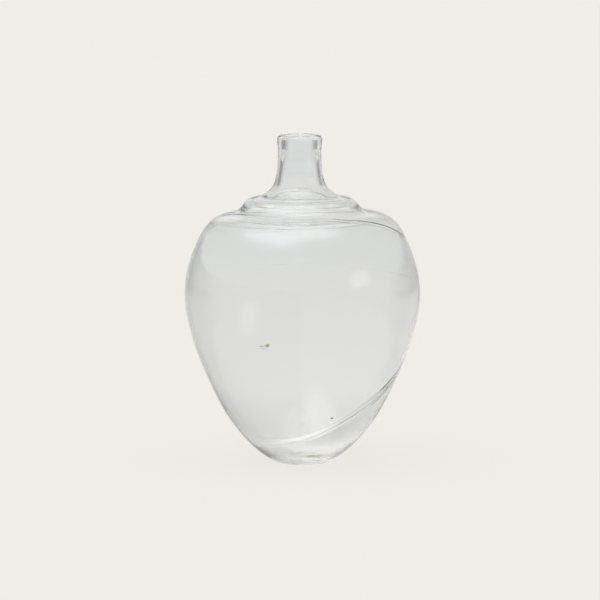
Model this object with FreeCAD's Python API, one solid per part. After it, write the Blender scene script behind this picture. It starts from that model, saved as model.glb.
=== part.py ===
import FreeCAD, Part
import math
import os

# Wasp trap: one free-blown glass bottle and the small deposits that are stuck to it.
# Millimetres. +Z is up, and the origin is the centre of the ring that the bottle rests on.

# Driving dimensions
BORE_RADIUS = 9.4          # straight land inside the lip, where wasps enter
KICK_UP = 1.4              # rise of the underside's centre above the resting ring
FLOOR_HEIGHT = 3.8         # inside floor above the resting ring
NECK_SHIFT = -1.7          # the neck stands this far off the body's axis, along X
SHIFT_START = 150.0        # height where the centre line starts to drift
SHIFT_END = 182.0          # height where it has reached the neck's axis
SPLINE_DEGREE = 3
SPANS_PER_BAND = 4         # the skin is laid down in level bands of this many spline spans

# The glass skin is one smooth cubic spline of (radius, height) poles.
# It starts at the centre of the underside and climbs the outside to the crest of the lip.
OUTER_POLES = [
    (0.0, KICK_UP), (4.0, KICK_UP),                                             # underside
    (8.0, 0.0), (9.5, 0.0), (11.0, 0.0), (12.5, 0.0), (14.0, 0.0),              # flat resting ring
    (18.5, 0.8), (25.0, 4.6), (32.0, 10.4), (40.0, 19.0), (48.5, 30.0),         # narrow lower body
    (57.5, 47.0), (66.5, 67.5), (73.2, 88.0), (76.8, 108.0), (74.3, 127.5),     # belly
    (68.2, 143.5), (62.4, 154.4), (55.0, 160.5), (46.0, 162.0),                 # shoulder
    (39.5, 163.9), (36.4, 168.9), (32.6, 171.8), (27.0, 172.4),                 # step
    (23.0, 174.3), (17.8, 177.6), (15.1, 184.0), (14.3, 192.0), (13.9, 199.5),  # neck
    (14.0, 205.0), (14.7, 208.0), (14.5, 211.4), (11.6, 212.6),                 # rolled lip
]
# It goes on over the lip, down the bore and round the cavity to the centre of the floor.
INNER_POLES = [
    (9.9, 212.0), (BORE_RADIUS, 210.4), (BORE_RADIUS, 209.0), (BORE_RADIUS, 207.6),
    (BORE_RADIUS, 206.2), (BORE_RADIUS, 204.8), (BORE_RADIUS, 203.4),           # land of the bore
    (9.8, 201.2), (10.5, 197.6), (11.1, 193.6), (11.7, 189.0), (12.3, 184.0), (13.2, 179.2),  # neck
    (16.2, 174.8), (21.5, 171.4), (27.0, 169.6), (31.5, 168.8), (34.4, 165.6),  # step
    (38.0, 161.4), (45.5, 159.0), (53.6, 157.8), (60.5, 152.4), (66.3, 142.4),  # shoulder
    (72.5, 127.1), (75.1, 108.0), (71.5, 88.4), (64.8, 68.1), (55.9, 48.0),     # belly
    (46.8, 31.7), (38.6, 20.6), (30.6, 12.3), (23.7, 6.9), (17.4, 3.4), (12.0, 2.7),
    (7.5, 2.9), (4.0, FLOOR_HEIGHT), (0.0, FLOOR_HEIGHT),                       # floor
]

# A full circle as eight rational quadratic poles, as multiples of the radius.
HALF_DIAGONAL = math.sqrt(0.5)
CIRCLE_POLES = [(1, 0, 1.0), (1, 1, HALF_DIAGONAL), (0, 1, 1.0), (-1, 1, HALF_DIAGONAL), (-1, 0, 1.0),
                (-1, -1, HALF_DIAGONAL), (0, -1, 1.0), (1, -1, HALF_DIAGONAL), (1, 0, 1.0)]
CIRCLE_KNOTS = [0.0, 0.25, 0.5, 0.75, 1.0]
CIRCLE_MULTIPLICITIES = [3, 2, 2, 2, 3]

UP = FreeCAD.Vector(0, 0, 1)
RIGHT = FreeCAD.Vector(1, 0, 0)
LINE_REACH = 400.0         # longer than the bottle, for finding its skin along a line
LEG_WIDTH = 0.45           # each leg of the insect fragment
LEG_DEPTH = 0.3


def axis_shift(height):
    """X of the bottle's centre line: 0 in the body, easing over to the neck's axis."""
    along = (height - SHIFT_START) / (SHIFT_END - SHIFT_START)
    along = min(max(along, 0.0), 1.0)
    return NECK_SHIFT * along * along * (3.0 - 2.0 * along)


def skin_surface(profile):
    """The whole skin as one surface: every level section is a circle about the drifting centre line."""
    poles = []
    weights = []
    for radius, height in profile:
        centre = axis_shift(height)
        poles.append([FreeCAD.Vector(centre + x * radius, y * radius, height) for x, y, _ in CIRCLE_POLES])
        weights.append([weight for _, _, weight in CIRCLE_POLES])
    spans = len(profile) - SPLINE_DEGREE
    knots = [float(index) for index in range(spans + 1)]
    multiplicities = [SPLINE_DEGREE + 1] + [1] * (spans - 1) + [SPLINE_DEGREE + 1]
    surface = Part.BSplineSurface()
    surface.buildFromPolesMultsKnots(poles, multiplicities, CIRCLE_MULTIPLICITIES, knots, CIRCLE_KNOTS,
                                     False, False, SPLINE_DEGREE, 2, weights)
    return surface


def straight_stretch(matches):
    """First and last spline parameter of the stretch that a run of poles in line makes straight."""
    first = matches.index(True)
    last = len(matches) - 1 - matches[::-1].index(True)
    return first, last - SPLINE_DEGREE + 1


def free_bands(surface, start, end):
    """Free-form faces of the skin from one spline parameter to another."""
    bands = []
    for first in range(start, end, SPANS_PER_BAND):
        band = surface.copy()
        band.segment(first, min(first + SPANS_PER_BAND, end), 0, 1)
        bands.append(band.toShape())
    return bands


def resting_ring(surface, start, end):
    """Flat annulus that the bottle stands on."""
    inner = Part.Wire(Part.makeCircle(surface.value(start, 0).x))
    outer = Part.Wire(Part.makeCircle(surface.value(end, 0).x))
    return Part.makeFace([outer, inner], "Part::FaceMakerBullseye")


def bore_land(surface, start, end):
    """Straight cylindrical wall inside the lip."""
    top = surface.value(start, 0).z
    bottom = surface.value(end, 0).z
    land = Part.makeCylinder(BORE_RADIUS, top - bottom, FreeCAD.Vector(NECK_SHIFT, 0, bottom))
    return max(land.Faces, key=lambda face: face.Area if isinstance(face.Surface, Part.Cylinder) else 0)


def glass_vessel():
    """The bottle: free-blown skin with a flat resting ring and a straight land in the lip."""
    profile = OUTER_POLES + INNER_POLES
    surface = skin_surface(profile)
    ring_start, ring_end = straight_stretch([height == 0.0 for _, height in profile])
    land_start, land_end = straight_stretch([radius == BORE_RADIUS for radius, _ in profile])
    faces = free_bands(surface, 0, ring_start)
    faces.append(resting_ring(surface, ring_start, ring_end))
    faces += free_bands(surface, ring_end, land_start)
    faces.append(bore_land(surface, land_start, land_end))
    faces += free_bands(surface, land_end, len(profile) - SPLINE_DEGREE)
    skin = Part.Compound(faces)
    skin.sewShape()
    vessel = Part.Solid(skin.Shells[0])
    if vessel.Volume < 0:
        vessel.reverse()
    return vessel


def first_glass(vessel, start, direction):
    """Where a line from a point in the cavity first meets the glass."""
    line = Part.makeLine(start, start + direction * LINE_REACH)
    ends = [vertex.Point for vertex in line.common(vessel).Vertexes]
    return min(ends, key=lambda point: point.distanceToPoint(start))


def last_glass(vessel, start, direction):
    """Where the same line leaves the glass, on the outside of the bottle."""
    line = Part.makeLine(start, start + direction * LINE_REACH)
    ends = [vertex.Point for vertex in line.common(vessel).Vertexes]
    return max(ends, key=lambda point: point.distanceToPoint(start))


def radial(azimuth_deg):
    """Level unit vector, counter-clockwise from +X."""
    angle = math.radians(azimuth_deg)
    return FreeCAD.Vector(math.cos(angle), math.sin(angle), 0)


def on_cavity_wall(vessel, height, azimuth_deg):
    """Point on the cavity's wall at a height and azimuth, and the direction back into the cavity."""
    start = FreeCAD.Vector(axis_shift(height), 0, height)
    outward = radial(azimuth_deg)
    return first_glass(vessel, start, outward), outward * -1


def lens(centre, normal, heading, length, width, depth):
    """A flattened ellipsoid: depth is its half-height along normal, and length runs towards heading."""
    across = normal.cross(heading).normalize()
    along = across.cross(normal).normalize()
    half_length = length / 2
    half_width = width / 2
    matrix = FreeCAD.Matrix(
        along.x * half_length, across.x * half_width, normal.x * depth, centre.x,
        along.y * half_length, across.y * half_width, normal.y * depth, centre.y,
        along.z * half_length, across.z * half_width, normal.z * depth, centre.z,
        0, 0, 0, 1)
    return Part.makeSphere(1.0).transformGeometry(matrix)


def stuck_on(vessel, blob):
    """The part of a blob that stands clear of the glass, so that its back lies face to face on the glass."""
    pieces = blob.cut(vessel).Solids
    return max(pieces, key=lambda piece: piece.Volume)


def bait_residue(vessel):
    """Crust of bait, from a shallow puddle that dried off centre on the floor."""
    above_floor = FreeCAD.Vector(8.5, -5.5, 25.0)
    centre = first_glass(vessel, above_floor, UP * -1)
    return stuck_on(vessel, lens(centre, UP, RIGHT, 15.0, 9.0, 0.8))


def neck_residue(vessel):
    """Thin deposit low on the right side of the neck's bore."""
    centre, inward = on_cavity_wall(vessel, 188.0, -22.0)
    return stuck_on(vessel, lens(centre, inward, UP, 6.0, 3.2, 0.35))


def crease_dirt(vessel):
    """Dirt lodged outside, in the crease where the neck meets the step."""
    outward = radial(206.0)
    axis_point = FreeCAD.Vector(axis_shift(174.2), 0, 174.2)
    centre = last_glass(vessel, axis_point, outward)
    slope_normal = (outward * 0.5 + UP).normalize()
    return stuck_on(vessel, lens(centre, slope_normal, outward, 3.0, 1.6, 0.45))


def wall_fleck(vessel):
    """Insect fragment on the body's inner wall: a small body with one straight leg and one bent leg."""
    centre, inward = on_cavity_wall(vessel, 85.6, 252.0)
    left = UP.cross(inward).normalize()
    fragment = lens(centre, inward, left, 2.8, 2.1, 0.6)
    legs = [
        (85.0, 249.4, left - UP * 0.16, 5.0),
        (84.5, 251.8, UP, 2.4),
        (83.4, 249.9, left + UP * 0.07, 5.2),
    ]
    for height, azimuth_deg, heading, length in legs:
        foot, foot_inward = on_cavity_wall(vessel, height, azimuth_deg)
        fragment = fragment.fuse(lens(foot, foot_inward, heading, length, LEG_WIDTH, LEG_DEPTH))
    return stuck_on(vessel, fragment)


def wall_speck(vessel):
    """Small dark speck low on the inner wall."""
    centre, inward = on_cavity_wall(vessel, 36.3, -68.0)
    return stuck_on(vessel, lens(centre, inward, UP.cross(inward), 1.9, 1.3, 0.5))


def main():
    os.makedirs("parts", exist_ok=True)
    vessel = glass_vessel()
    nodes = {
        "glass_vessel": vessel,
        "bait_residue": bait_residue(vessel),
        "neck_residue": neck_residue(vessel),
        "crease_dirt": crease_dirt(vessel),
        "wall_fleck": wall_fleck(vessel),
        "wall_speck": wall_speck(vessel),
    }
    for name, shape in nodes.items():
        shape.exportStep("parts/" + name + ".step")
        print(name, "valid", shape.isValid(), "solids", len(shape.Solids), "volume", round(shape.Volume, 2))


main()
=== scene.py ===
import math

import bpy
import numpy as np
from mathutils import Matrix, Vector


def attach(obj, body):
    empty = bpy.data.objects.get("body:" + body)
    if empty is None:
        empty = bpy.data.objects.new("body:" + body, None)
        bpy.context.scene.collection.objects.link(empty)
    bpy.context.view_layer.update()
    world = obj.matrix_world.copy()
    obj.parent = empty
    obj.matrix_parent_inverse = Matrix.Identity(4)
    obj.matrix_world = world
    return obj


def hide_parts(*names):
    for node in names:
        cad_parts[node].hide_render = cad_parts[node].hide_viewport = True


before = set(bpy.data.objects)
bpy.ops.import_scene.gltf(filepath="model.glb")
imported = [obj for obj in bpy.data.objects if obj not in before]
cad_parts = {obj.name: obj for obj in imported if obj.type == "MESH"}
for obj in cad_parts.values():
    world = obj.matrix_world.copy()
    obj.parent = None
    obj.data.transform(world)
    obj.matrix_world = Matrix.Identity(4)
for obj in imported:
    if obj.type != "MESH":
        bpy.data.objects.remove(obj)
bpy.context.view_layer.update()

# Wasp trap: one free-blown glass bottle with the small deposits that are stuck to it.
# Shapes are worked out in millimetres and turned into metres when a mesh is made.
# Azimuth is in degrees round the bottle: 0 is the front (-Y) and 90 is the right (+X).

MM = 0.001

# ---------------------------------------------------------------- the glass skin
# The same spline poles as the CAD vessel, as (radius, height): up the outside, over the lip and
# down round the cavity.
OUTER_POLES = [
    (0.0, 1.4), (4.0, 1.4),                                                     # underside
    (8.0, 0.0), (9.5, 0.0), (11.0, 0.0), (12.5, 0.0), (14.0, 0.0),              # resting ring
    (18.5, 0.8), (25.0, 4.6), (32.0, 10.4), (40.0, 19.0), (48.5, 30.0),         # lower body
    (57.5, 47.0), (66.5, 67.5), (73.2, 88.0), (76.8, 108.0), (74.3, 127.5),     # belly
    (68.2, 143.5), (62.4, 154.4), (55.0, 160.5), (46.0, 162.0),                 # shoulder
    (39.5, 163.9), (36.4, 168.9), (32.6, 171.8), (27.0, 172.4),                 # step
    (23.0, 174.3), (17.8, 177.6), (15.1, 184.0), (14.3, 192.0), (13.9, 199.5),  # neck
    (14.0, 205.0), (14.7, 208.0), (14.5, 211.4), (11.6, 212.6),                 # rolled lip
]
INNER_POLES = [
    (9.9, 212.0), (9.4, 210.4), (9.4, 209.0), (9.4, 207.6), (9.4, 206.2), (9.4, 204.8), (9.4, 203.4),
    (9.8, 201.2), (10.5, 197.6), (11.1, 193.6), (11.7, 189.0), (12.3, 184.0), (13.2, 179.2),  # neck
    (16.2, 174.8), (21.5, 171.4), (27.0, 169.6), (31.5, 168.8), (34.4, 165.6),  # step
    (38.0, 161.4), (45.5, 159.0), (53.6, 157.8), (60.5, 152.4), (66.3, 142.4),  # shoulder
    (72.5, 127.1), (75.1, 108.0), (71.5, 88.4), (64.8, 68.1), (55.9, 48.0),     # belly
    (46.8, 31.7), (38.6, 20.6), (30.6, 12.3), (23.7, 6.9), (17.4, 3.4), (12.0, 2.7),
    (7.5, 2.9), (4.0, 3.8), (0.0, 3.8),                                         # floor
]
DEGREE = 3
SAMPLES_PER_SPAN = 60
RING_RADIUS = 12.0      # middle of the resting ring

NECK_SHIFT = -1.7       # the neck stands this far off the body's axis
SHIFT_HEIGHTS = (150.0, 182.0)
TILT = 0.5              # the shoulder is this much higher on the right, and lower on the left
TILT_HEIGHTS = (146.0, 156.0)
TILT_RADII = (38.0, 50.0)

# The fold in the glass, as (azimuth, height): the sharp lower line and the soft upper edge.
FOLD_LINE = [(-75, 12.5), (-50, 13.8), (-19, 17.5), (-6, 19.4), (4, 20.9), (14, 24.2), (30, 31.5), (36, 34.3),
             (46, 39.7), (61, 48.0), (75, 60.0), (95, 72.0), (120, 78.0), (180, 60.0), (240, 24.0)]
FOLD_EDGE = [(-75, 19.0), (-40, 21.7), (-13, 22.2), (3, 25.4), (19, 31.0), (29, 35.0), (36, 40.0), (46, 48.0),
             (61, 56.5), (74, 64.5), (79, 71.0), (95, 80.0), (120, 86.0), (180, 68.0), (240, 31.0)]
# Two thin cords in the glass: the upper one crosses the front of the shoulder, the lower one the back.
UPPER_CORD = [(-120, 157.0), (-90, 160.9), (-72, 162.8), (-40, 163.3), (0, 163.5), (24, 162.3), (37, 161.1),
              (51, 159.2), (66, 154.3), (79, 147.8), (95, 143.5), (130, 141.0), (180, 142.0), (210, 148.0)]
LOWER_CORD = [(113, 118.0), (130, 118.4), (144, 119.4), (156, 119.8), (171, 120.9), (190, 121.6),
              (206, 121.3), (221, 124.4), (237, 126.3), (300, 124.0), (360, 121.0), (420, 118.5)]
GUIDE_BLUR = 5.0        # degrees; rounds the corners of those paths
HALF_DEGREES = np.arange(720) * 0.5

FRONT_COLUMNS = 210     # mesh columns over the front sector, where the fine relief is
BACK_COLUMNS = 100
FRONT_SECTOR = (-75.0, 105.0)
# The rows are closer together this far along the skin on both sides of the lip's crest, of the fold's
# line and of a cord, and up to the last of these above the fold.
LIP_REACH = 12.0
FOLD_REACH = 3.0
CORD_REACH = 1.5
ABOVE_FOLD = 14.0


def smooth(x):
    x = np.clip(x, 0.0, 1.0)
    return x * x * (3.0 - 2.0 * x)


def rise(x, start, end):
    """0 at the start, 1 at the end, and smooth between them; it falls where the end is the lower one."""
    return smooth((x - start) / (end - start))


def hump(x, centre, half_width):
    """A smooth bump of height 1."""
    return smooth(1.0 - np.abs((x - centre) / half_width))


def axis_shift(height):
    return NECK_SHIFT * rise(height, *SHIFT_HEIGHTS)


def spline_points(poles, parameters):
    """Points of the clamped uniform spline of those poles, by de Boor's rule."""
    poles = np.array(poles, float)
    spans = len(poles) - DEGREE
    knots = np.concatenate([np.zeros(DEGREE), np.arange(spans + 1), np.full(DEGREE, spans)])
    span = np.clip(np.floor(parameters).astype(int), 0, spans - 1) + DEGREE
    work = [poles[span - DEGREE + j] for j in range(DEGREE + 1)]
    for level in range(1, DEGREE + 1):
        for j in range(DEGREE, level - 1, -1):
            low = knots[span - DEGREE + j]
            high = knots[span + 1 + j - level]
            along = ((parameters - low) / (high - low))[:, None]
            work[j] = (1.0 - along) * work[j - 1] + along * work[j]
    return work[DEGREE]


# The profile as a table: length along the skin from the centre of the underside, radius and height.
SPANS = len(OUTER_POLES) + len(INNER_POLES) - DEGREE
PROFILE = spline_points(OUTER_POLES + INNER_POLES, np.linspace(0.0, SPANS, SPANS * SAMPLES_PER_SPAN + 1))
LENGTH = np.concatenate([[0.0], np.cumsum(np.hypot(*np.diff(PROFILE, axis=0).T))])
TANGENT = np.gradient(PROFILE, LENGTH, axis=0)
CREST = int(np.argmax(PROFILE[:, 1]))
RING = int(np.argmax(PROFILE[:CREST, 0] > RING_RADIUS))


def outer_length(height):
    """Length along the skin to a height on the outside."""
    return np.interp(height, PROFILE[RING:CREST, 1], LENGTH[RING:CREST])


def inner_length(height):
    """Length along the skin to a height in the cavity."""
    return np.interp(-height, -PROFILE[CREST:, 1], LENGTH[CREST:])


def guide(points):
    """Length along the skin of a path round the bottle, for every half degree."""
    angles, heights = zip(*points)
    path = np.interp(HALF_DEGREES, angles, outer_length(np.array(heights)), period=360.0)
    offset = (HALF_DEGREES + 180.0) % 360.0 - 180.0
    kernel = np.exp(-0.5 * (offset / GUIDE_BLUR) ** 2)
    return np.real(np.fft.ifft(np.fft.fft(path) * np.fft.fft(kernel / kernel.sum())))


GUIDES = {name: guide(points) for name, points in
          {"fold": FOLD_LINE, "edge": FOLD_EDGE, "upper": UPPER_CORD, "lower": LOWER_CORD}.items()}


def guide_at(name, azimuth):
    return np.interp(azimuth, HALF_DEGREES, GUIDES[name], period=360.0)


def window(azimuth, start, full_from, full_to, end):
    """1 between the two middle azimuths, fading to 0 at the outer two."""
    turned = (azimuth - start) % 360.0
    return rise(turned, 0.0, full_from - start) * rise(turned, end - start, full_to - start)


def across(name, length, azimuth, radius):
    """Distance from a guide, square to it, and positive above it."""
    here = guide_at(name, azimuth)
    slope = (guide_at(name, azimuth + 1.0) - guide_at(name, azimuth - 1.0)) / (2.0 * np.radians(radius))
    return (length - here) / np.hypot(1.0, slope), np.hypot(1.0, slope)


def fold_across(length, azimuth, radius):
    """Distance above the fold's line, and the fold's width there."""
    s, slant = across("fold", length, azimuth, radius)
    width = (guide_at("edge", azimuth) - guide_at("fold", azimuth)) / slant
    return s, np.maximum(width, FOLD_LEAST_WIDTH)


# The relief of the outside, in millimetres. Places are (centre, half-width) above a guide, and sectors
# are azimuths: start, full from, full to, end.
FOLD_LEAST_WIDTH = 2.5
FOLD_STEP = 0.25        # height of the fold above the skin under it
FOLD_FACE = (-0.5, 0.5)
FOLD_FLANK = (0.0, 0.7)         # in shares of the fold's width
FOLD_BEAD = 0.38        # bead along its sharp lower edge
BEAD_PLACE = (0.45, 0.9)
BEAD_SECTOR = (-30.0, 15.0, 35.0, 70.0)
FOLD_GROOVE = 0.22      # groove under that
GROOVE_PLACE = (-0.9, 0.9)
FOLD_VALLEY = 0.30      # shallow valley along its upper edge
VALLEY_PLACE = (0.85, 0.4)      # in shares of the fold's width
FOLD_SECTOR = (-60.0, 20.0, 55.0, 95.0)
LOW_RELIEF = 0.55       # the fold is lower by this share towards the right
LOW_RELIEF_SECTOR = (10.0, 50.0, 80.0, 120.0)
CORD_DEPTH = {"upper": 0.15, "lower": 0.22}
CORD_PLACE = (0.0, 0.8)
CORD_LIP = 0.45         # height of the ridge above a cord, as a share of its depth
CORD_LIP_PLACE = (1.2, 1.1)
CORD_SECTOR = {"upper": (-115.0, -60.0, 50.0, 110.0), "lower": (85.0, 110.0, 215.0, 240.0)}
WAVE = 0.10             # slow waves of the free-blown wall
WAVE_SIZE = 2.5         # what the three waves together can come to
WAVE_START = (60.0, 100.0)      # lengths along the skin where they grow
WAVE_END = (195.0, 155.0)       # and where they fade
INNER_PHASE = 2.2       # the waves of the cavity don't follow those of the outside
LEAST_RADIUS = 5.0      # keeps distances round the bottle sensible near its axis


def outer_relief(length, azimuth, radius):
    """How far the outside stands proud of the smooth profile, in millimetres."""
    s, width = fold_across(length, azimuth, radius)
    fold = FOLD_STEP * rise(s, *FOLD_FACE) * (1.0 - rise(s / width, *FOLD_FLANK))
    fold += FOLD_BEAD * hump(s, *BEAD_PLACE) * window(azimuth, *BEAD_SECTOR)
    fold -= FOLD_GROOVE * hump(s, *GROOVE_PLACE)
    fold -= FOLD_VALLEY * hump(s / width, *VALLEY_PLACE)
    fold *= 1.0 - LOW_RELIEF * window(azimuth, *LOW_RELIEF_SECTOR)
    relief = fold * window(azimuth, *FOLD_SECTOR)
    for name in ("upper", "lower"):
        s, _ = across(name, length, azimuth, radius)
        cord = CORD_DEPTH[name] * (CORD_LIP * hump(s, *CORD_LIP_PLACE) - hump(s, *CORD_PLACE))
        relief += cord * window(azimuth, *CORD_SECTOR[name])
    return relief + slow_waves(length, azimuth, 0.0)


def slow_waves(length, azimuth, phase):
    """Slow unevenness of a wall shaped by breath and a few turns of the pipe."""
    angle = np.radians(azimuth)
    body = rise(length, *WAVE_START) * rise(length, *WAVE_END)
    # Waves of three lengths, each bent in its own way round the bottle.
    waves = (np.sin(length / 11.0 + 1.3 * np.sin(angle + 0.7) + phase)
             + 0.8 * np.sin(length / 23.0 + 2.0 * np.sin(2.0 * angle + phase) + 2.0)
             + 0.7 * np.sin(3.0 * angle + length / 37.0 + 1.0 + phase))
    return WAVE * body * waves / WAVE_SIZE


def skin(length, azimuth, proud=0.0):
    """Points of the blown skin, with its relief, plus a distance out of the glass."""
    radius = np.interp(length, LENGTH, PROFILE[:, 0])
    height = np.interp(length, LENGTH, PROFILE[:, 1])
    dr = np.interp(length, LENGTH, TANGENT[:, 0])
    dz = np.interp(length, LENGTH, TANGENT[:, 1])
    outside = length < LENGTH[CREST]
    from_floor = LENGTH[-1] - length
    relief = np.where(outside, outer_relief(length, azimuth, np.maximum(radius, LEAST_RADIUS)),
                      slow_waves(from_floor, azimuth, INNER_PHASE))
    relief = relief + proud
    radius = radius + dz * relief
    height = height - dr * relief
    angle = np.radians(azimuth)
    height = height + TILT * np.sin(angle) * rise(height, *TILT_HEIGHTS) * rise(radius, *TILT_RADII)
    return np.stack([axis_shift(height) + radius * np.sin(angle), -radius * np.cos(angle), height], -1)


def mesh_object(name, verts_mm, faces):
    mesh = bpy.data.meshes.new(name)
    mesh.from_pydata((np.asarray(verts_mm) * MM).tolist(), [], faces)
    mesh.polygons.foreach_set("use_smooth", [True] * len(mesh.polygons))
    thing = bpy.data.objects.new(name, mesh)
    bpy.context.scene.collection.objects.link(thing)
    return thing


def band_quads(rows, columns, first=0):
    """Faces of a grid that closes on itself round its rows."""
    a = first + np.arange(rows * columns).reshape(rows, columns)
    b = np.roll(a, -1, axis=1)
    return a, b, [tuple(q) for q in np.stack([a[:-1], b[:-1], b[1:], a[1:]], -1).reshape(-1, 4)]


# Painted shade on the outside: dark lines along the fold's creases and the upper cord and a dark band under
# the fold, with places and sectors as for the relief.
CREASE_SHADE = "painted_crease_shade"
LINE_SHADE = 1.3        # along the fold's line
LINE_SHADE_PLACE = (-0.1, 0.6)
SECOND_SHADE = 0.8      # in a second fine crease just under it
SECOND_SHADE_PLACE = (-2.0, 0.6)
SECOND_SHADE_SECTOR = (-5.0, 8.0, 25.0, 40.0)
EDGE_SHADE = 0.45       # along the fold's upper edge
EDGE_SHADE_AT = 0.9     # in shares of the fold's width
EDGE_SHADE_HALF_WIDTH = 1.6
FOLD_SHADE_SECTOR = (-80.0, -30.0, 25.0, 60.0)
UNDER_FOLD_SHADE = 0.75      # painted shade on the glass under the fold
UNDER_FOLD_SHADE_MORE = 0.55         # and how much more of it lies close to the fold
UNDER_FOLD_SHADE_START = (-0.5, -3.5)
UNDER_FOLD_SHADE_GROWS = (-18.0, -4.0)
UNDER_FOLD_SHADE_SECTOR = (-120.0, -40.0, 30.0, 65.0)
CORD_SHADE = 0.35       # along the upper cord
CORD_SHADE_PLACE = (0.0, 0.6)
CORD_SHADE_SECTOR = (-95.0, -60.0, 20.0, 80.0)


def make_vessel():
    """The bottle as one closed grid, whose rows run along the fold and the cords."""
    front = np.linspace(*FRONT_SECTOR, FRONT_COLUMNS, endpoint=False)
    back = np.linspace(FRONT_SECTOR[1], FRONT_SECTOR[0] + 360.0, BACK_COLUMNS, endpoint=False)
    azimuth = np.concatenate([front, back])
    level = np.ones_like(azimuth)
    fold, upper, lower = (guide_at(name, azimuth) for name in ("fold", "upper", "lower"))
    # Lengths along the skin, each with the number of rows up to the next.
    stops = [
        (0.0 * level, 36), (fold - FOLD_REACH, 22), (fold + FOLD_REACH, 14), (fold + ABOVE_FOLD, 38),
        (lower - CORD_REACH, 6), (lower + CORD_REACH, 14), (upper - CORD_REACH, 6), (upper + CORD_REACH, 60),
        (level * (LENGTH[CREST] - LIP_REACH), 34), (level * (LENGTH[CREST] + LIP_REACH), 84),
        (level * LENGTH[-1], 0),
    ]
    rows = []
    for (low, count), (high, _) in zip(stops[:-1], stops[1:]):
        for step in range(count):
            rows.append(low + (high - low) * step / count)
    lengths = np.array(rows[1:])
    grid = skin(lengths, np.broadcast_to(azimuth, lengths.shape)).reshape(-1, 3)
    a, b, faces = band_quads(*lengths.shape)
    bottom, top = len(grid), len(grid) + 1
    verts = np.concatenate([grid, [[0.0, 0.0, PROFILE[0, 1]], [0.0, 0.0, PROFILE[-1, 1]]]])
    faces += [(bottom, b[0, k], a[0, k]) for k in range(len(azimuth))]
    faces += [(top, a[-1, k], b[-1, k]) for k in range(len(azimuth))]
    bottle = mesh_object("glass_bottle", verts, faces)
    radius = np.maximum(np.interp(lengths, LENGTH, PROFILE[:, 0]), LEAST_RADIUS)
    # Painted shade along the fold, under it and along the upper cord, stored on the points for the glass's
    # colour.
    painted_shade = painted_crease_shade(lengths, np.broadcast_to(azimuth, lengths.shape), radius).ravel()
    layer = bottle.data.attributes.new(CREASE_SHADE, "FLOAT", "POINT")
    layer.data.foreach_set("value", np.concatenate([painted_shade, [0.0, 0.0]]))
    return bottle


def painted_crease_shade(length, azimuth, radius):
    """How much painted shade lies along the creases of the fold and of the upper cord and under the fold; 1
    is a darkly shaded crease.
    """
    s, width = fold_across(length, azimuth, radius)
    painted_shade = LINE_SHADE * hump(s, *LINE_SHADE_PLACE)
    painted_shade += SECOND_SHADE * hump(s, *SECOND_SHADE_PLACE) * window(azimuth, *SECOND_SHADE_SECTOR)
    painted_shade += EDGE_SHADE * hump(s, EDGE_SHADE_AT * width, EDGE_SHADE_HALF_WIDTH)
    painted_shade *= window(azimuth, *FOLD_SHADE_SECTOR)
    # Painted shade in a band on the glass under the fold, darker close to it.
    under = rise(s, *UNDER_FOLD_SHADE_START) * (UNDER_FOLD_SHADE + UNDER_FOLD_SHADE_MORE * rise(s, *UNDER_FOLD_SHADE_GROWS))
    painted_shade += under * window(azimuth, *UNDER_FOLD_SHADE_SECTOR)
    s, _ = across("upper", length, azimuth, radius)
    painted_shade += CORD_SHADE * hump(s, *CORD_SHADE_PLACE) * window(azimuth, *CORD_SHADE_SECTOR)
    return painted_shade


# ---------------------------------------------------------------- deposits
SUNK = 0.08             # how far each deposit's back is set into the glass, so that no gap shows
FLOOR_HEIGHT = 20.0     # the cavity's floor lies below this
LUMP_WAVES = 16
LUMP_SPREAD = (0.6, 1.8)        # the waves' lengths, in shares of the lumps' size
OUTLINE_CIRCLE = 2.0    # how far round the lumps a flake's outline runs, and their size there
OUTLINE_LUMPS = 1.6
TOP_LUMPS = 0.7         # size of the lumps on its top, as a share of its half-width
FLAKE_SECTORS = 56
FLAKE_RINGS = np.array([0.12, 0.25, 0.38, 0.5, 0.62, 0.73, 0.83, 0.91, 0.97, 1.0])


def lumps(u, v, seed, size):
    """Seeded smooth roughness between about -1 and 1, over features of about that size."""
    rng = np.random.default_rng(seed)
    total = 0.0
    for _ in range(LUMP_WAVES):
        turn, phase = rng.uniform(0.0, 2.0 * math.pi, 2)
        wave = size * rng.uniform(*LUMP_SPREAD)
        total = total + np.sin(2.0 * math.pi * (u * math.cos(turn) + v * math.sin(turn)) / wave + phase)
    return total / math.sqrt(LUMP_WAVES)


def on_wall(length, azimuth, upward):
    """Where a flat patch of (right, up) millimetres lies on the skin; upward is -1 inside, +1 outside."""
    radius = np.interp(length, LENGTH, PROFILE[:, 0])

    def place(u, v, proud):
        return skin(length + upward * v, azimuth + np.degrees(u / radius), proud)
    return place


def on_floor(x, y):
    """Where a flat patch lies on the cavity's floor."""
    inner = slice(CREST, None)
    low = PROFILE[inner, 1] < FLOOR_HEIGHT

    def place(u, v, proud):
        px, py = x + u, y + v
        reach = np.hypot(px, py)
        length = np.interp(-reach, -PROFILE[inner, 0][low], LENGTH[inner][low])
        return skin(length, np.degrees(np.arctan2(px, -py)), proud)
    return place


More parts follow.
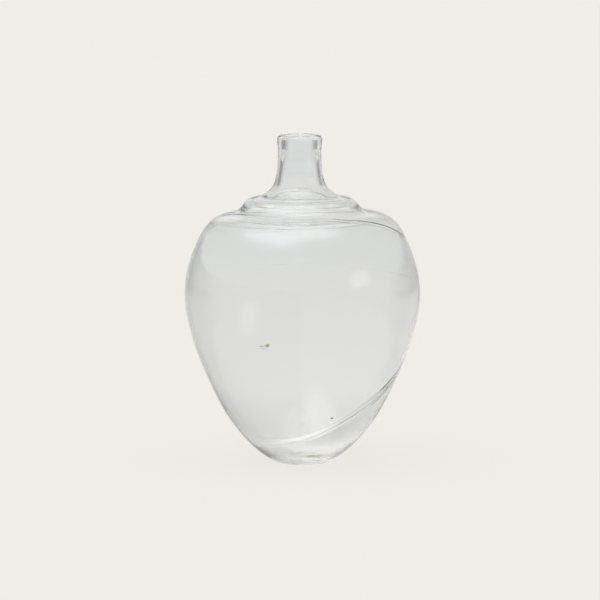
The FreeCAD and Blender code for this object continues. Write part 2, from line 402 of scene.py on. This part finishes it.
def flake(place, half_length, half_width, thickness, seed, turn=0.0, bend=0.0, ragged=0.12, grain=0.25,
          at=(0.0, 0.0)):
    """One closed scab of matter: a ragged outline, a lumpy top and a back set into the glass."""
    sectors, rings = FLAKE_SECTORS, FLAKE_RINGS
    phi = np.linspace(0.0, 2.0 * math.pi, sectors, endpoint=False)
    outline = lumps(np.cos(phi) * OUTLINE_CIRCLE, np.sin(phi) * OUTLINE_CIRCLE, seed, OUTLINE_LUMPS)
    outline = 1.0 + ragged * outline
    reach = rings[:, None] * outline
    a = reach * np.cos(phi) * half_length
    b = reach * np.sin(phi) * half_width + bend * (reach * np.cos(phi)) ** 2
    c, s = math.cos(math.radians(turn)), math.sin(math.radians(turn))
    u, v = at[0] + a * c - b * s, at[1] + a * s + b * c
    swell = np.sqrt(np.clip(1.0 - rings[:, None] ** 2, 0.0, 1.0))
    top = thickness * swell * (1.0 + grain * lumps(u, v, seed + 1, half_width * TOP_LUMPS))
    top[-1] = 0.0
    rows = [place(u[k], v[k], top[k]) for k in range(len(rings))]
    rows += [place(u[k], v[k], np.full(sectors, -SUNK)) for k in range(len(rings) - 1, -1, -2)]
    middle_u, middle_v = np.array([at[0]]), np.array([at[1]])
    crown = place(middle_u, middle_v, np.array([thickness]))
    back = place(middle_u, middle_v, np.array([-SUNK]))
    return np.concatenate(rows + [crown, back]), len(rows), sectors


def deposit(name, replaced, material, flakes, flipped):
    """One piece from several scabs; on the outside of the wall and on the floor their faces are flipped."""
    verts, faces = [], []
    for points, rows, sectors in flakes:
        start = len(verts)
        a, b, quads = band_quads(rows, sectors, start)
        crown, back = start + rows * sectors, start + rows * sectors + 1
        fan = [(crown, b[0, k], a[0, k]) for k in range(sectors)]
        fan += [(back, a[-1, k], b[-1, k]) for k in range(sectors)]
        here = quads + fan
        faces += [tuple(reversed(f)) for f in here] if flipped else here
        verts += points.tolist()
    piece = mesh_object(name, verts, faces)
    piece.data.materials.append(material)
    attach(piece, "root")
    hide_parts(replaced)


def make_deposits():
    bait = organic("dried_bait", (0.80, 0.78, 0.52), (0.52, 0.50, 0.22), 1400.0)
    scale = organic("neck_deposit", (0.72, 0.69, 0.58), (0.42, 0.38, 0.25), 1800.0)
    insect = organic("insect_matter", (0.88, 0.84, 0.62), (0.56, 0.52, 0.26), 1800.0)
    dirt_and_shade = organic("dark_dirt", (0.52, 0.48, 0.42), (0.28, 0.25, 0.21), 1800.0)

    floor_spot = on_floor(8.5, -5.5)
    deposit("bait_crust", "bait_residue", bait, [
        flake(floor_spot, 7.2, 3.0, 0.22, 11, at=(0.0, -0.6), ragged=0.16),
        flake(floor_spot, 2.9, 1.7, 0.9, 12, at=(2.6, 0.3), grain=0.35),
        flake(floor_spot, 1.5, 1.1, 0.8, 13, at=(-0.6, -1.0), grain=0.35),
        flake(floor_spot, 1.1, 0.8, 0.5, 14, at=(-3.8, 0.6), grain=0.35),
    ], True)

    neck_spot = on_wall(inner_length(188.0), 68.0, -1.0)
    deposit("neck_scale", "neck_residue", scale, [
        flake(neck_spot, 1.7, 0.6, 0.24, 21, turn=84.0, ragged=0.25),
        flake(neck_spot, 0.9, 0.5, 0.26, 22, at=(0.5, -2.4)),
        flake(neck_spot, 0.6, 0.4, 0.22, 23, at=(-0.6, 2.7)),
    ], False)

    crease_spot = on_wall(outer_length(174.0), -64.0, 1.0)
    deposit("crease_soil", "crease_dirt", dirt_and_shade, [
        flake(crease_spot, 1.3, 0.7, 0.35, 31, turn=8.0, ragged=0.2),
        flake(crease_spot, 0.6, 0.4, 0.25, 32, at=(-1.7, 0.1)),
    ], True)

    fleck_spot = on_wall(inner_length(85.6), -18.0, -1.0)
    deposit("insect_fleck", "wall_fleck", insect, [
        flake(fleck_spot, 1.35, 1.0, 0.6, 41, turn=20.0, grain=0.3),
        flake(fleck_spot, 2.5, 0.20, 0.25, 42, at=(-3.2, -0.6), turn=8.0, bend=0.25, ragged=0.05, grain=0.1),
        flake(fleck_spot, 1.0, 0.16, 0.18, 43, at=(-0.3, -1.2), turn=100.0, bend=0.3, ragged=0.05, grain=0.1),
        flake(fleck_spot, 2.6, 0.11, 0.14, 44, at=(-2.6, -2.2), turn=-4.0, bend=0.1, ragged=0.05, grain=0.1),
        flake(fleck_spot, 0.5, 0.35, 0.35, 45, at=(1.3, 0.6)),
    ], False)

    speck_spot = on_wall(inner_length(36.3), 22.0, -1.0)
    deposit("dark_speck", "wall_speck", dirt_and_shade, [
        flake(speck_spot, 0.9, 0.6, 0.45, 51, turn=12.0, ragged=0.15),
    ], False)


# ---------------------------------------------------------------- node helpers
def new_material(name):
    material = bpy.data.materials.new(name)
    material.use_nodes = True
    return material, material.node_tree, material.node_tree.nodes["Principled BSDF"]


def node(tree, kind, **settings):
    made = tree.nodes.new(kind)
    for key, value in settings.items():
        setattr(made, key, value)
    return made


def feed(tree, socket, value):
    """Give a socket a link, or a plain value."""
    if isinstance(value, bpy.types.NodeSocket):
        tree.links.new(value, socket)
    else:
        socket.default_value = value


def math_node(tree, operation, *values):
    made = node(tree, "ShaderNodeMath", operation=operation)
    for socket, value in zip(made.inputs, values):
        feed(tree, socket, value)
    return made.outputs[0]


def remap(tree, value, start, end, low=0.0, high=1.0, curve="SMOOTHSTEP"):
    """Rises from low to high as the value goes from start to end."""
    made = node(tree, "ShaderNodeMapRange", interpolation_type=curve)
    feed(tree, made.inputs["Value"], value)
    for name, level in (("From Min", start), ("From Max", end), ("To Min", low), ("To Max", high)):
        feed(tree, made.inputs[name], level)
    return made.outputs["Result"]


def colour_mix(tree, factor, first, second):
    made = node(tree, "ShaderNodeMix", data_type="RGBA")
    made.inputs["A"].default_value = (*first, 1.0)
    made.inputs["B"].default_value = (*second, 1.0)
    feed(tree, made.inputs["Factor"], factor)
    return made.outputs["Result"]


def noise(tree, vector, scale, detail):
    made = node(tree, "ShaderNodeTexNoise")
    made.inputs["Scale"].default_value = scale
    made.inputs["Detail"].default_value = detail
    feed(tree, made.inputs["Vector"], vector)
    return made.outputs["Fac"]


def add_bump(tree, shader, height, strength, depth):
    made = node(tree, "ShaderNodeBump")
    made.inputs["Strength"].default_value = strength
    made.inputs["Distance"].default_value = depth
    feed(tree, made.inputs["Height"], height)
    feed(tree, shader.inputs["Normal"], made.outputs["Normal"])


def axes(tree, place):
    """The X, Y and Z outputs of a place."""
    split = node(tree, "ShaderNodeSeparateXYZ")
    feed(tree, split.inputs[0], place)
    return split.outputs["X"], split.outputs["Y"], split.outputs["Z"]


def grey_curve(tree, value, stops, tint=(1.0, 1.0, 1.0)):
    """A smooth curve through (position, level) stops, in shades of one tint."""
    made = node(tree, "ShaderNodeValToRGB")
    feed(tree, made.inputs["Fac"], value)
    ramp = made.color_ramp
    ramp.interpolation = "EASE"
    ramp.elements.remove(ramp.elements[1])
    ramp.elements[0].position = stops[0][0]
    ramp.elements[0].color = [stops[0][1] * c for c in tint] + [1.0]
    for position, level in stops[1:]:
        ramp.elements.new(position).color = [level * c for c in tint] + [1.0]
    return made.outputs["Color"]


# ---------------------------------------------------------------- materials
# Dried matter; the scales are shares of each matter's own scale.
MOTTLE_SCALE = 0.5
MOTTLE_DETAIL = 4.0
MOTTLE_BAND = (0.36, 0.64)      # noise levels between the light and the dark colour
MATTER_ROUGHNESS = (0.55, 0.95)
GRAIN_SCALE = 3.0
GRAIN_DETAIL = 2.0
GRAIN_STRENGTH = 0.6
GRAIN_DEPTH = 0.1 * MM


def organic(name, light, dark, scale):
    """Dull dried matter: mottled colour, a rough surface and a fine grain."""
    material, tree, shader = new_material(name)
    place = node(tree, "ShaderNodeTexCoord").outputs["Object"]
    mottle = noise(tree, place, scale * MOTTLE_SCALE, MOTTLE_DETAIL)
    feed(tree, shader.inputs["Base Color"], colour_mix(tree, remap(tree, mottle, *MOTTLE_BAND), light, dark))
    rough = remap(tree, mottle, 0.0, 1.0, *MATTER_ROUGHNESS, curve="LINEAR")
    feed(tree, shader.inputs["Roughness"], rough)
    add_bump(tree, shader, noise(tree, place, scale * GRAIN_SCALE, GRAIN_DETAIL), GRAIN_STRENGTH, GRAIN_DEPTH)
    return material


IOR_GLASS = 1.5
TRANSMISSION = 0.97
CLEAR_TINT = (0.955, 0.968, 0.975)
# The dark colour that the painted shade and the film mix into the glass.
FILM_AND_SHADE_TINT = (0.30, 0.30, 0.30)
CREASE_SHADE_DEPTH = 0.40      # optical depth of the painted shade in a crease and under the fold
FILM_AND_EDGE_SHADE = 0.018            # optical depth of the film of dried water marks on each skin, looked at square on; as it grows with the slant it is also painted shade toward the outline
FILM_LEAST_COSINE = 0.22        # the film doesn't grow darker beyond this slant
CLEAR_GLOSS = 0.025     # roughness of the clearest patches of the skin
DULL_GLOSS = 0.065      # and of its dullest
HAZE_SCALE = 55.0       # patches per metre
HAZE_DETAIL = 4.0
HAZE_BAND = (0.35, 0.65)
WORN_ROUGHNESS = 0.45
WORN_HEIGHTS = (0.0018, 0.003)  # the underside is ground and worn below these, in metres
STRIA_LENGTHWAYS = 18.0         # striae per metre along them
STRIA_ACROSS = 150.0            # and across them
STRIA_DETAIL = 3.0
STRIA_DEPTH = 0.00006           # metres
LAMP_RAY_TINT = (0.86, 0.88, 0.87)


def glass():
    material, tree, shader = new_material("clear_glass")
    shader.inputs["IOR"].default_value = IOR_GLASS
    shader.inputs["Transmission Weight"].default_value = TRANSMISSION
    # A thin film of dried marks, which shows most where the skin is looked along and so also paints shade
    # toward the outline, and painted shade in the creases and under the fold.
    facing = node(tree, "ShaderNodeLayerWeight")
    facing.inputs["Blend"].default_value = 0.5
    cosine = math_node(tree, "SUBTRACT", 1.0, facing.outputs["Facing"])
    cosine = math_node(tree, "MAXIMUM", cosine, FILM_LEAST_COSINE)
    slant = math_node(tree, "SUBTRACT", math_node(tree, "DIVIDE", 1.0, cosine), 1.0)
    side = node(tree, "ShaderNodeNewGeometry")
    from_air = math_node(tree, "SUBTRACT", 1.0, side.outputs["Backfacing"])
    depth = math_node(tree, "MULTIPLY", math_node(tree, "MULTIPLY", slant, -FILM_AND_EDGE_SHADE), from_air)
    film_and_edge_shade = math_node(tree, "EXPONENT", depth)
    # Painted shade from the points' crease attribute.
    creases = node(tree, "ShaderNodeAttribute", attribute_name=CREASE_SHADE)
    dirt_and_shade = math_node(tree, "MULTIPLY", creases.outputs["Fac"], -CREASE_SHADE_DEPTH)
    clear_share = math_node(tree, "MULTIPLY", film_and_edge_shade, math_node(tree, "EXPONENT", dirt_and_shade))
    feed(tree, shader.inputs["Base Color"], colour_mix(tree, clear_share, FILM_AND_SHADE_TINT, CLEAR_TINT))
    # Patchy haze, and a ground and worn underside.
    place = node(tree, "ShaderNodeTexCoord").outputs["Object"]
    haze = noise(tree, place, HAZE_SCALE, HAZE_DETAIL)
    gloss = remap(tree, haze, *HAZE_BAND, CLEAR_GLOSS, DULL_GLOSS)
    height = axes(tree, place)[2]
    feed(tree, shader.inputs["Roughness"], remap(tree, height, *WORN_HEIGHTS, WORN_ROUGHNESS, gloss))
    # Striae: threads of slightly uneven glass that lie round the bottle.
    stretch = node(tree, "ShaderNodeMapping")
    stretch.inputs["Scale"].default_value = (STRIA_LENGTHWAYS, STRIA_LENGTHWAYS, STRIA_ACROSS)
    feed(tree, stretch.inputs["Vector"], place)
    add_bump(tree, shader, noise(tree, stretch.outputs["Vector"], 1.0, STRIA_DETAIL), 1.0, STRIA_DEPTH)
    # Rays from lamps pass straight through, so that what is inside the bottle is lit.
    path = node(tree, "ShaderNodeLightPath")
    open_way = node(tree, "ShaderNodeBsdfTransparent")
    open_way.inputs["Color"].default_value = (*LAMP_RAY_TINT, 1.0)
    mix = node(tree, "ShaderNodeMixShader")
    feed(tree, mix.inputs["Fac"], path.outputs["Is Shadow Ray"])
    feed(tree, mix.inputs[1], shader.outputs["BSDF"])
    feed(tree, mix.inputs[2], open_way.outputs["BSDF"])
    feed(tree, tree.nodes["Material Output"].inputs["Surface"], mix.outputs["Shader"])
    return material


# ---------------------------------------------------------------- studio
# The floor, in metres, degrees from straight behind the bottle and shares of full light.
FLOOR_RINGS = (1.0, 2.0, 3.0)
FLOOR_RADIUS = 4.0
FLOOR_SIDES = 128
WALL_RADIUS = 4.6
WALL_TOP = 1.0
SWEEP_STEPS = 13
FLOOR_GREY = (0.10, 0.10, 0.10)
PALE = (0.871, 0.847, 0.791)
FAR_PALE = (0.850, 0.842, 0.826)
FAR_PALE_FROM = (0.3, 2.4)
SEEN_FLOOR = 0.882
SIDE_SHADE = 0.23       # the back left of the floor is this much dimmer
SIDE_SHADE_TURN = (8.0, 40.0)
FAR_SIDE_SHADE = 0.6    # and the far floor at both sides
FAR_SIDE_GROWS = (15.0, 45.0)
FAR_SIDE_FADES = (90.0, 65.0)
FAR_SIDE_FROM = (0.9, 1.6)
# How bright the floor is away from the bottle, as (distance / FALL_REACH, level).
FALL_REACH = 5.0
LAMP_FALL = [
    (0.0, 1.50), (0.006, 1.22), (0.010, 0.88), (0.015, 0.76), (0.022, 0.76), (0.035, 0.80), (0.05, 0.86),
    (0.16, 0.79), (0.32, 0.77), (1.0, 0.77),
]


def stage():
    """A pale floor that sweeps up into a low wall all round, so that no horizon shows."""
    ring = np.linspace(0.0, 2.0 * math.pi, FLOOR_SIDES, endpoint=False)
    bend = WALL_RADIUS - FLOOR_RADIUS
    profile = [(radius, 0.0) for radius in FLOOR_RINGS]
    profile += [(FLOOR_RADIUS + bend * math.sin(t), bend * (1.0 - math.cos(t)))
                for t in np.linspace(0.0, math.pi / 2, SWEEP_STEPS)]
    profile += [(WALL_RADIUS, WALL_TOP)]
    verts = [(r * math.cos(t) / MM, r * math.sin(t) / MM, z / MM) for r, z in profile for t in ring]
    a, b, faces = band_quads(len(profile), len(ring))
    verts.append((0.0, 0.0, 0.0))
    faces += [(len(verts) - 1, b[0, k], a[0, k]) for k in range(len(ring))]
    floor = mesh_object("floor", verts, faces)
    floor.data.materials.append(pale_floor())


def pale_floor():
    material, tree, shader = new_material("pale_floor")
    shader.inputs["Roughness"].default_value = 1.0
    shader.inputs["Specular IOR Level"].default_value = 0.0
    shader.inputs["Base Color"].default_value = (*FLOOR_GREY, 1.0)
    place = node(tree, "ShaderNodeTexCoord").outputs["Object"]
    away = node(tree, "ShaderNodeVectorMath", operation="LENGTH")
    feed(tree, away.inputs[0], place)
    distance = away.outputs["Value"]
    lamp_fall = grey_curve(tree, math_node(tree, "DIVIDE", distance, FALL_REACH), LAMP_FALL)
    x, y, _ = axes(tree, place)
    turned = math_node(tree, "ARCTAN2", math_node(tree, "MULTIPLY", x, -1.0), y)
    shade = remap(tree, turned, *map(math.radians, SIDE_SHADE_TURN), 1.0, 1.0 - SIDE_SHADE)
    level = math_node(tree, "MULTIPLY", lamp_fall, shade)
    # The far floor is dim behind the bottle at both sides.
    sideways = math_node(tree, "ABSOLUTE", turned)
    beside = math_node(tree, "MULTIPLY", remap(tree, sideways, *map(math.radians, FAR_SIDE_GROWS)),
                       remap(tree, sideways, *map(math.radians, FAR_SIDE_FADES)))
    beyond = remap(tree, distance, *FAR_SIDE_FROM)
    dim = math_node(tree, "MULTIPLY", math_node(tree, "MULTIPLY", beside, beyond), FAR_SIDE_SHADE)
    level = math_node(tree, "MULTIPLY", level, math_node(tree, "SUBTRACT", 1.0, dim))
    # All that holds for light on its way to the bottle; the floor that is seen directly is even.
    seen = node(tree, "ShaderNodeLightPath").outputs["Is Camera Ray"]
    distant = remap(tree, distance, *FAR_PALE_FROM)
    far_tint = math_node(tree, "MULTIPLY", distant, math_node(tree, "SUBTRACT", 1.0, seen))
    feed(tree, shader.inputs["Emission Color"], colour_mix(tree, far_tint, PALE, FAR_PALE))
    strength = node(tree, "ShaderNodeMix", data_type="FLOAT")
    feed(tree, strength.inputs["Factor"], seen)
    feed(tree, strength.inputs["A"], level)
    feed(tree, strength.inputs["B"], SEEN_FLOOR)
    feed(tree, shader.inputs["Emission Strength"], strength.outputs["Result"])
    return material


# Soft boxes, in degrees: (azimuth from, to, soft edge, elevation from, to, soft edge, strength, colour).
SOFTBOXES = [
    (-110.0, -30.0, 34.0, 55.0, 66.0, 10.0, 1.35, (0.97, 0.97, 1.12)),
    (56.0, 66.0, 12.0, 14.0, 19.0, 8.0, 0.95, (1.12, 0.93, 0.96)),
]
# Round lamps, in degrees: (azimuth, elevation, core, reach, strength).
ROUND_LAMPS = [(20.0, 86.0, 10.0, 30.0, 1.25), (-176.0, 13.0, 5.0, 14.0, 0.28)]
# How bright the room is at each height above the horizon, as (sine of the elevation, level).
SKY_TINT = (1.0, 1.0, 0.94)
SKY = [(0.0, 0.78), (0.16, 0.74), (0.30, 0.68), (0.50, 0.65), (0.75, 0.70), (1.0, 0.80)]


def direction(azimuth, elevation):
    """The way to a place in the room, from its azimuth and elevation in degrees."""
    turn, lift = math.radians(azimuth), math.radians(elevation)
    return Vector((math.sin(turn) * math.cos(lift), -math.cos(turn) * math.cos(lift), math.sin(lift)))


def soft_span(tree, angle, low, high, edge):
    """1 between two angles in degrees, fading to 0 over the edge on either side."""
    return math_node(tree, "MULTIPLY", remap(tree, angle, math.radians(low - edge), math.radians(low)),
                     remap(tree, angle, math.radians(high + edge), math.radians(high)))


def studio_light():
    """A dim room that is lighter overhead, with soft boxes whose edges fade."""
    world = bpy.data.worlds.new("studio")
    bpy.context.scene.world = world
    world.use_nodes = True
    tree = world.node_tree
    place = node(tree, "ShaderNodeTexCoord").outputs["Generated"]
    x, y, z = axes(tree, place)
    turn = math_node(tree, "ARCTAN2", x, math_node(tree, "MULTIPLY", y, -1.0))
    lift = math_node(tree, "ARCSINE", z)
    glows = []
    for turn_low, turn_high, turn_edge, lift_low, lift_high, lift_edge, strength, colour in SOFTBOXES:
        across_box = soft_span(tree, turn, turn_low, turn_high, turn_edge)
        up_box = soft_span(tree, lift, lift_low, lift_high, lift_edge)
        glows.append((math_node(tree, "MULTIPLY", across_box, up_box), strength, colour))
    for azimuth, elevation, core, reach, strength in ROUND_LAMPS:
        near = node(tree, "ShaderNodeVectorMath", operation="DOT_PRODUCT")
        feed(tree, near.inputs[0], place)
        near.inputs[1].default_value = direction(azimuth, elevation)
        glow = remap(tree, near.outputs["Value"], math.cos(math.radians(reach)), math.cos(math.radians(core)))
        glows.append((glow, strength, (1.0, 1.0, 1.0)))
    total = grey_curve(tree, z, SKY, SKY_TINT)
    for glow, strength, colour in glows:
        tinted = node(tree, "ShaderNodeVectorMath", operation="SCALE")
        tinted.inputs[0].default_value = [strength * c for c in colour]
        feed(tree, tinted.inputs["Scale"], glow)
        add = node(tree, "ShaderNodeVectorMath", operation="ADD")
        feed(tree, add.inputs[0], total)
        feed(tree, add.inputs[1], tinted.outputs["Vector"])
        total = add.outputs["Vector"]
    feed(tree, tree.nodes["Background"].inputs["Color"], total)


CAMERA_ELEVATION = 7.5
CAMERA_DISTANCE = 2.3           # metres, as the next two
CAMERA_TARGET = Vector((0.0, 0.0, 0.105))
VIEW_WIDTH = 0.387              # what the view takes in at the target
SENSOR_WIDTH = 36.0
CAMERA_SHIFT = (-0.00383, 0.00117)
CLIP_END = 50.0


def camera():
    cam = bpy.data.objects.new("camera", bpy.data.cameras.new("camera"))
    bpy.context.scene.collection.objects.link(cam)
    cam.location = CAMERA_TARGET + direction(0.0, CAMERA_ELEVATION) * CAMERA_DISTANCE
    cam.rotation_euler = (math.radians(90.0 - CAMERA_ELEVATION), 0.0, 0.0)
    cam.data.lens = SENSOR_WIDTH * CAMERA_DISTANCE / VIEW_WIDTH
    cam.data.clip_end = CLIP_END
    cam.data.shift_x, cam.data.shift_y = CAMERA_SHIFT
    bpy.context.scene.camera = cam


# Enough bounces for a ray to cross both walls of the bottle and its thick lip.
GLASS_BOUNCES = 16
ALL_BOUNCES = 20


def bounces_and_view():
    scene = bpy.context.scene
    scene.view_settings.view_transform = "Standard"
    scene.cycles.use_denoising = True
    scene.cycles.transmission_bounces = GLASS_BOUNCES
    scene.cycles.max_bounces = ALL_BOUNCES
    scene.cycles.transparent_max_bounces = GLASS_BOUNCES


bottle = make_vessel()
bottle.data.materials.append(glass())
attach(bottle, "root")
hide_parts("glass_vessel")
make_deposits()
stage()
studio_light()
camera()
bounces_and_view()
